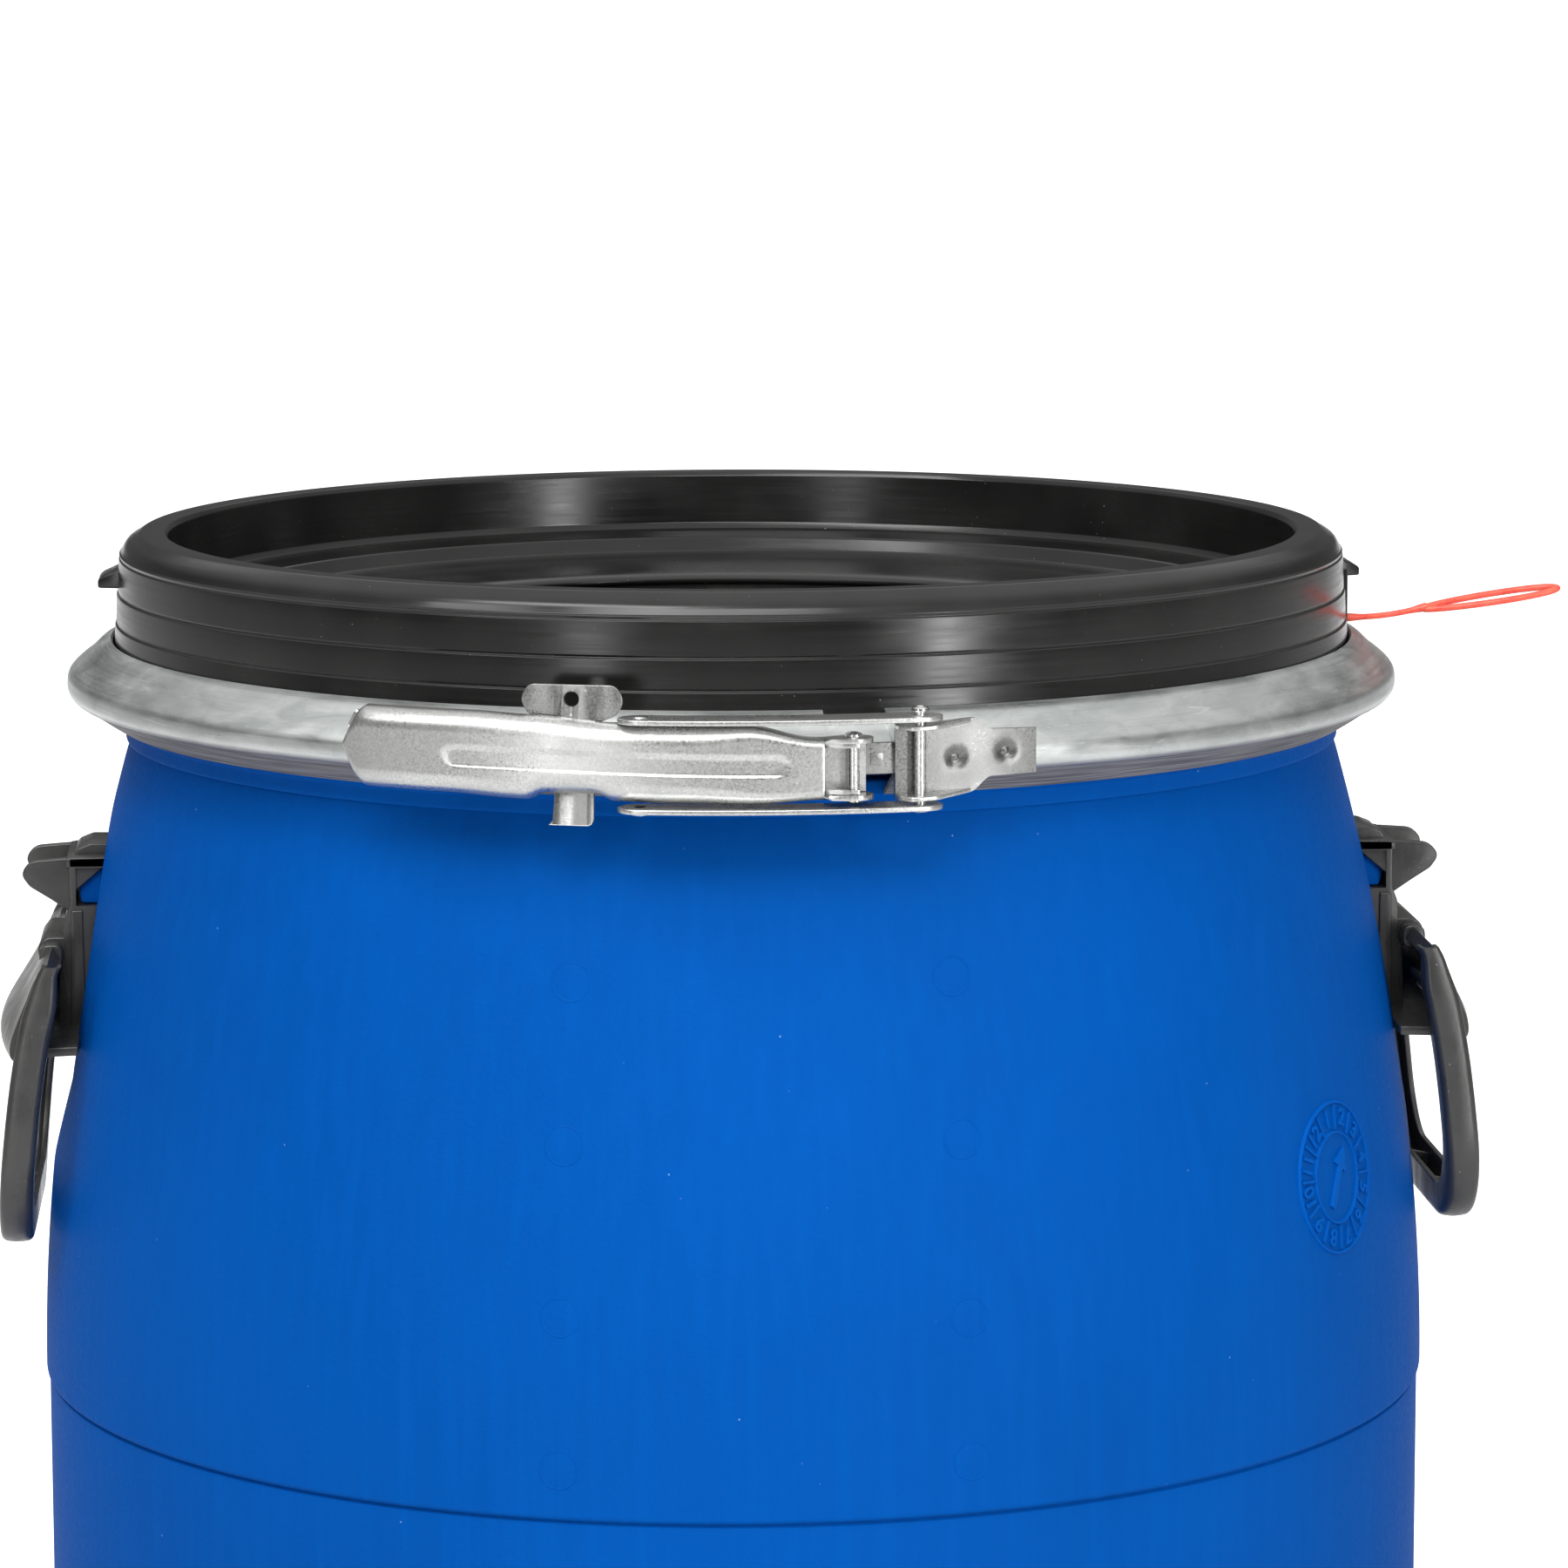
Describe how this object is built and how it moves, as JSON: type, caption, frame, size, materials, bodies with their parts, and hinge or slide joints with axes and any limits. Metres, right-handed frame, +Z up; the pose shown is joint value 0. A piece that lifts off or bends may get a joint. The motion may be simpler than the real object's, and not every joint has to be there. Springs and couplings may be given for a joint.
{
  "type": "open head plastic drum",
  "caption": "Open-head plastic storage drum with a dished lid, a steel clamp ring closed by an over-centre lever, and two drop handles.",
  "frame": {"origin": "centre of the flat pad under the base, on the drum's axis, at floor level", "axes": "+Z up along the drum's axis, -Y towards the ring's lever closure, +X and -X towards the two handles"},
  "size_m": [0.4503, 0.4006, 0.6222],
  "materials": {
    "blue_plastic": "satin blow-moulded polyethylene with fine orange peel",
    "lid_plastic": "glossy injection-moulded black with light dust",
    "gasket_rubber": "matt",
    "galvanised_steel": "hot-dip galvanised, drawn and scuffed",
    "bright_zinc": "bright zinc plate",
    "handle_plastic": "satin black moulded plastic",
    "seal_plastic": "moulded orange-red plastic"
  },
  "bodies": {
    "drum": {"drum_body": "blue_plastic", "handle_bracket_left": "handle_plastic", "handle_bracket_right": "handle_plastic"},
    "lid": {"lid": "lid_plastic", "lid_gasket": "gasket_rubber", "tamper_seal": "seal_plastic"},
    "ring_left": {"ring_band_left": "galvanised_steel", "ring_tongue": "galvanised_steel", "lever_bracket": "galvanised_steel", "latch_plate": "galvanised_steel", "lever_pivot_pin": "bright_zinc"},
    "ring_right": {"ring_band_right": "galvanised_steel", "anchor_bracket": "galvanised_steel", "anchor_pin": "bright_zinc"},
    "lever": {"closure_lever": "galvanised_steel"},
    "links": {"upper_link": "galvanised_steel", "lower_link": "galvanised_steel", "link_rivet_upper": "bright_zinc", "link_rivet_lower": "bright_zinc"},
    "grip_left": {"handle_grip_left": "handle_plastic"},
    "grip_right": {"handle_grip_right": "handle_plastic"}
  },
  "joints": [
    {"name": "lid_lift", "type": "slide", "parent": "drum", "child": "lid", "axis": [0, 0, 1], "range_m": [0, 0.12]},
    {"name": "lever_swing", "type": "hinge", "parent": "ring_left", "child": "lever", "pos_m": [0.01899, -0.19367, 0.5789], "axis": [0, 0, 1], "range_deg": [0, 120]},
    {"name": "ring_left_open", "type": "hinge", "parent": "lid", "child": "ring_left", "pos_m": [0, 0.191, 0.579], "axis": [0, 0, 1], "range_deg": [-3.75, 0]},
    {"name": "ring_right_open", "type": "hinge", "parent": "ring_left", "child": "ring_right", "pos_m": [0, 0.191, 0.579], "axis": [0, 0, 1], "range_deg": [0, 7.5]},
    {"name": "links_swing", "type": "hinge", "parent": "ring_right", "child": "links", "pos_m": [0.03646, -0.19115, 0.5789], "axis": [0, 0, 1], "range_deg": [0, 47.6]},
    {"name": "grip_left_raise", "type": "hinge", "parent": "drum", "child": "grip_left", "pos_m": [-0.196, 0, 0.5032], "axis": [0, 1, 0], "range_deg": [0, 110]},
    {"name": "grip_right_raise", "type": "hinge", "parent": "drum", "child": "grip_right", "pos_m": [0.196, 0, 0.5032], "axis": [0, -1, 0], "range_deg": [0, 110]}
  ],
  "couplings": [
    {"joint": "ring_left_open", "follows": "lever_swing", "ratio": -0.03123},
    {"joint": "ring_right_open", "follows": "lever_swing", "ratio": 0.06247},
    {"joint": "links_swing", "follows": "lever_swing", "ratio": 0.39588}
  ]
}
